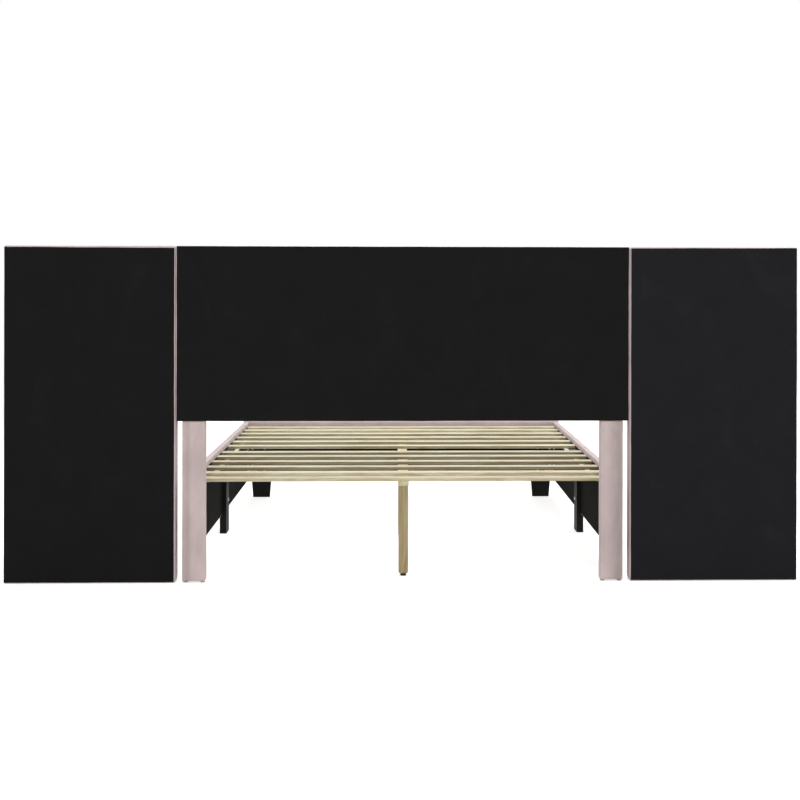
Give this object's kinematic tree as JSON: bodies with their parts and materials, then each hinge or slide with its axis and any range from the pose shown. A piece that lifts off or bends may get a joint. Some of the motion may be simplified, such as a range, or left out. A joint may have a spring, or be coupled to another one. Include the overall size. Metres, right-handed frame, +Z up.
{
  "type": "upholstered platform bed",
  "caption": "Upholstered platform bed with a wide three-panel padded headboard whose side wings reach the floor, padded rails, pine slats and a centre beam on levelling legs.",
  "frame": {"origin": "on the floor, at the middle of the bed's overall width and length", "axes": "+Z up, +Y from the headboard to the foot, +X to the right as seen from behind the headboard"},
  "size_m": [2.906, 2.172, 1.23],
  "materials": {
    "velvet": "dusty pink short-pile velvet",
    "black_nonwoven": "matt black non-woven dust cover",
    "pine": "planed, unfinished pine",
    "frame_timber": "sawn softwood",
    "board": "plywood",
    "foam": "upholstery foam",
    "black_paint": "satin black painted wood",
    "black_steel": "black powder coat",
    "webbing": "pale woven webbing",
    "black_plastic": "moulded black glide",
    "pale_nylon": "milky nylon",
    "zinc_steel": "zinc plated"
  },
  "bodies": {
    "root": {"beam_hanger": "zinc_steel", "centre_beam": "pine", "centre_legs": "pine", "corner_brackets": "black_steel", "foot_left": "black_paint", "foot_rail_board": "board", "foot_rail_cover": "velvet", "foot_right": "black_paint", "frame_bolts": "zinc_steel", "headboard_back_cover": "black_nonwoven", "headboard_cover": "velvet", "headboard_face_board": "board", "headboard_foam": "foam", "headboard_frame": "frame_timber", "leveller_inserts": "zinc_steel", "mid_leg_left": "black_paint", "mid_leg_right": "black_paint", "post_glides": "pale_nylon", "post_left": "frame_timber", "post_right": "frame_timber", "post_sleeve_left": "velvet", "post_sleeve_right": "velvet", "rail_edge_strips": "frame_timber", "rail_foam": "foam", "rail_linings": "black_nonwoven", "seam_hook_plates": "zinc_steel", "seam_slot_plates": "zinc_steel", "side_rail_board_left": "board", "side_rail_board_right": "board", "side_rail_cover_left": "velvet", "side_rail_cover_right": "velvet", "slat_01": "pine", "slat_02": "pine", "slat_03": "pine", "slat_04": "pine", "slat_05": "pine", "slat_06": "pine", "slat_07": "pine", "slat_08": "pine", "slat_09": "pine", "slat_10": "pine", "slat_11": "pine", "slat_12": "pine", "slat_ledgers": "black_steel", "slat_straps": "webbing", "tee_nuts": "zinc_steel", "wing_back_cover_left": "black_nonwoven", "wing_back_cover_right": "black_nonwoven", "wing_cover_left": "velvet", "wing_cover_right": "velvet", "wing_face_boards": "board", "wing_foam_left": "foam", "wing_foam_right": "foam", "wing_frame_left": "frame_timber", "wing_frame_right": "frame_timber", "wood_screws": "zinc_steel"},
    "leveller_head_body": {"leveller_head": "black_plastic"},
    "leveller_middle_body": {"leveller_middle": "black_plastic"},
    "leveller_foot_body": {"leveller_foot": "black_plastic"}
  },
  "joints": [
    {"name": "leveller_head_height", "type": "slide", "parent": "root", "child": "leveller_head_body", "axis": [0, 0, 1], "range_m": [-0.015, 0]},
    {"name": "leveller_middle_height", "type": "slide", "parent": "root", "child": "leveller_middle_body", "axis": [0, 0, 1], "range_m": [-0.015, 0]},
    {"name": "leveller_foot_height", "type": "slide", "parent": "root", "child": "leveller_foot_body", "axis": [0, 0, 1], "range_m": [-0.015, 0]}
  ]
}
